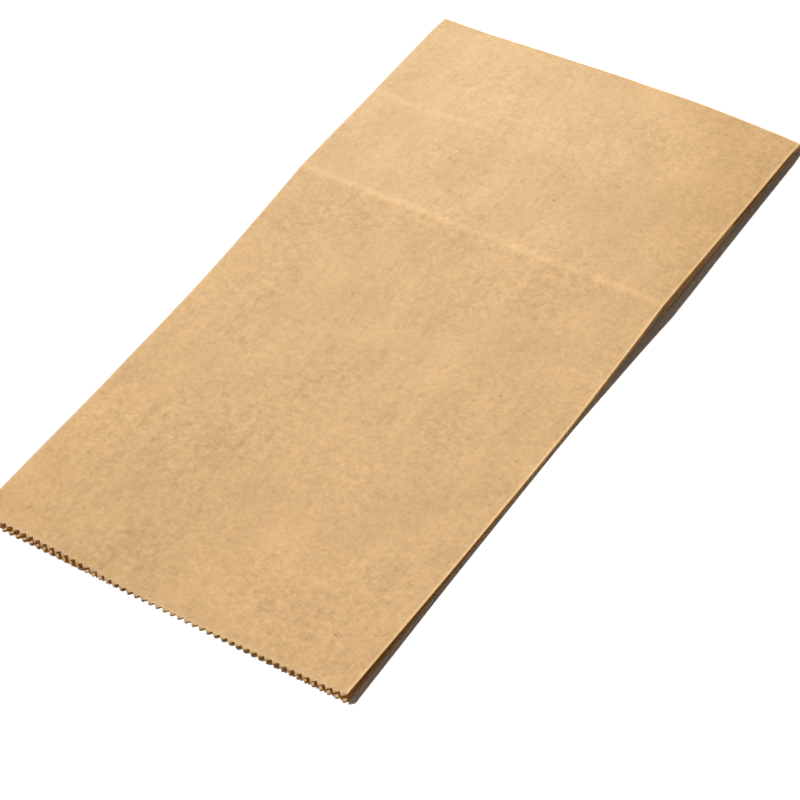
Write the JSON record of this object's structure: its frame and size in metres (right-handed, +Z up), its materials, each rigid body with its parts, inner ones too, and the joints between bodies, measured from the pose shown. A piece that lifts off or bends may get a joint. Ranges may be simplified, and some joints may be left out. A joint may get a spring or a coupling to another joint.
{
  "type": "paper lunch bag",
  "caption": "Flat-folded brown paper lunch bag with side gussets, a square bottom folded back underneath and a pinked mouth.",
  "frame": {"origin": "on the surface that the bag lies on, under the middle of its length and width", "axes": "+Z up, out of the front panel; +Y along the bag from its mouth to the folded end; +X across the bag"},
  "size_m": [0.153, 0.27, 0.0043],
  "materials": {
    "kraft_paper": "matt uncoated brown kraft, with faint fibres and cloudy mottling"
  },
  "bodies": {
    "root": {"paper_bag": "kraft_paper"}
  },
  "joints": []
}
